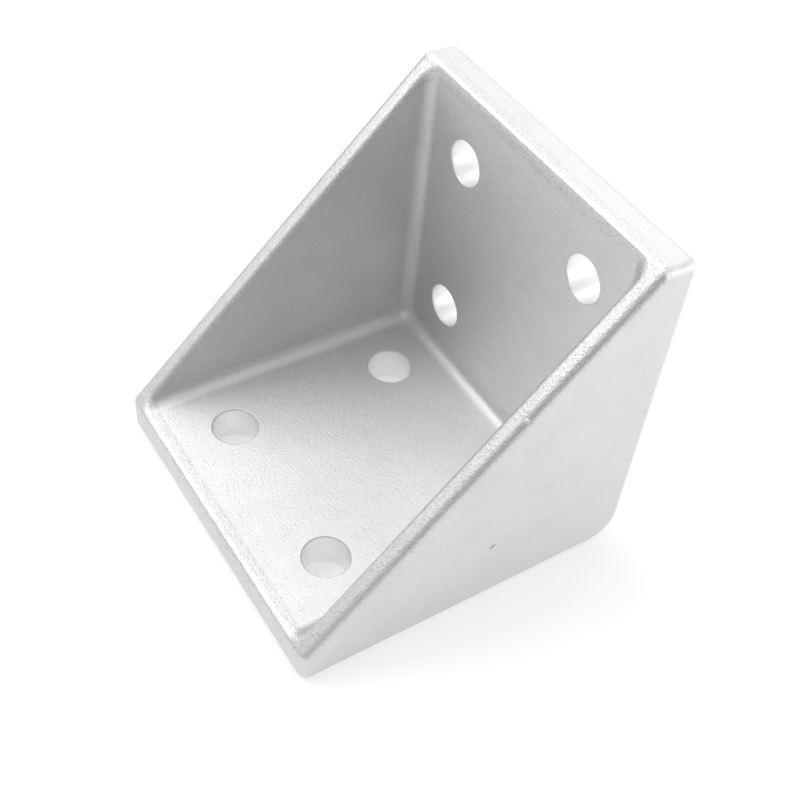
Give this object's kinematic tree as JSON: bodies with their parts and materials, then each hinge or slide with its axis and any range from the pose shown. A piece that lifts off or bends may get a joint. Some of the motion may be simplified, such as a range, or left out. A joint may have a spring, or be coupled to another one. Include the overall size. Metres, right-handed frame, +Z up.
{
  "type": "t slot corner bracket",
  "caption": "Cast aluminium corner bracket for T-slot framing: drilled flanges at a right angle, joined by sloping side webs around an open pocket.",
  "frame": {"origin": "middle of the base flange's underside", "axes": "+Z up along the upright flange, +Y from the base's tip towards the heel, X across the webs"},
  "size_m": [0.078, 0.078, 0.078],
  "materials": {
    "cast_aluminium": "blasted, satin"
  },
  "bodies": {
    "root": {"corner_bracket": "cast_aluminium"}
  },
  "joints": []
}
